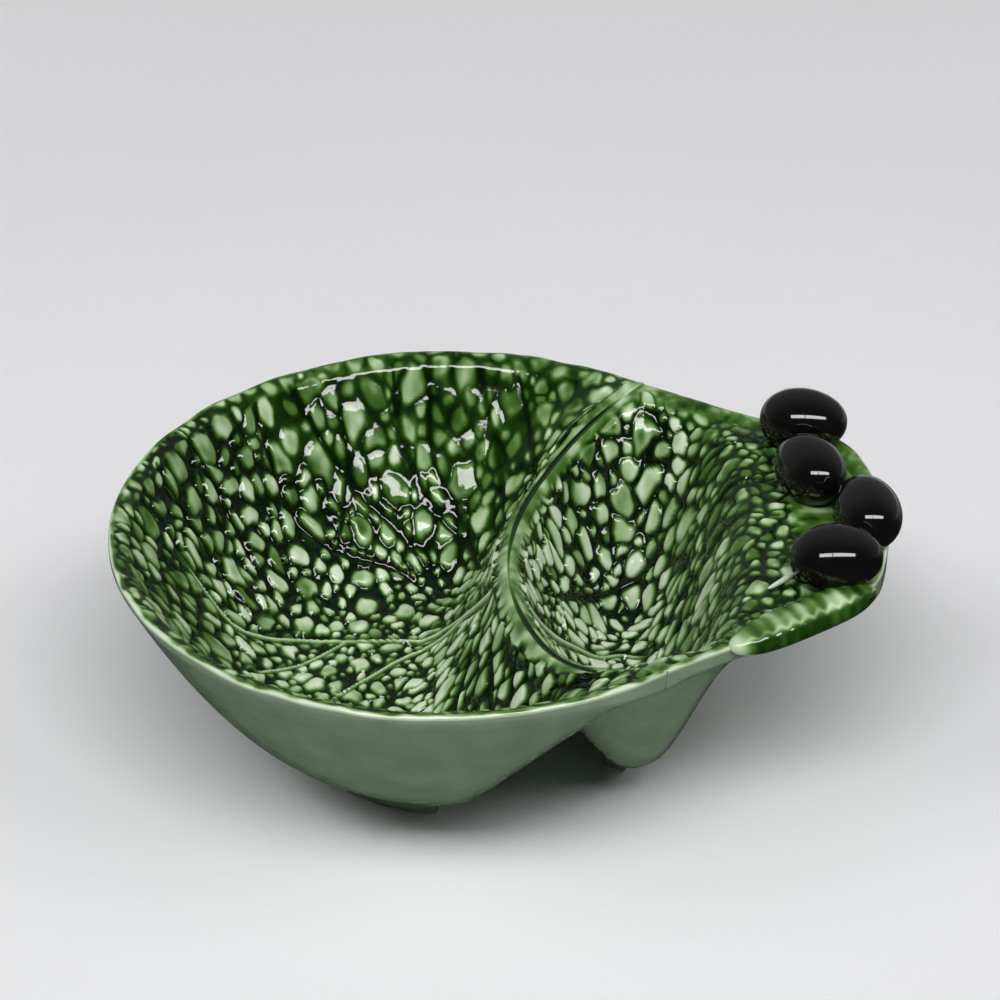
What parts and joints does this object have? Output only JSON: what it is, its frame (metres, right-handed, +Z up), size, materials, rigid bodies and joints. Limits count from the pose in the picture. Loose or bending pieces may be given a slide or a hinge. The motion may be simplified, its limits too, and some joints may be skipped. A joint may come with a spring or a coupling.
{
  "type": "olive dish",
  "caption": "Leaf-shaped glazed earthenware dish with a large and a small bowl parted by a raised divider, and olives modelled on its tip.",
  "frame": {"origin": "on the table, under the middle of the dish's box seen from above", "axes": "+X towards the leaf's tip that carries the olives, +Z up"},
  "size_m": [0.1766, 0.151, 0.069],
  "materials": {
    "leaf_glaze": "gloss",
    "outside_glaze": "gloss",
    "olive_glaze": "gloss"
  },
  "bodies": {
    "root": {"large_bowl": "leaf_glaze", "small_bowl": "leaf_glaze", "curled_edge": "leaf_glaze", "large_foot": "outside_glaze", "small_foot": "outside_glaze", "back_olive": "olive_glaze", "inner_olive": "olive_glaze", "end_olive": "olive_glaze", "front_olive": "olive_glaze"}
  },
  "joints": []
}
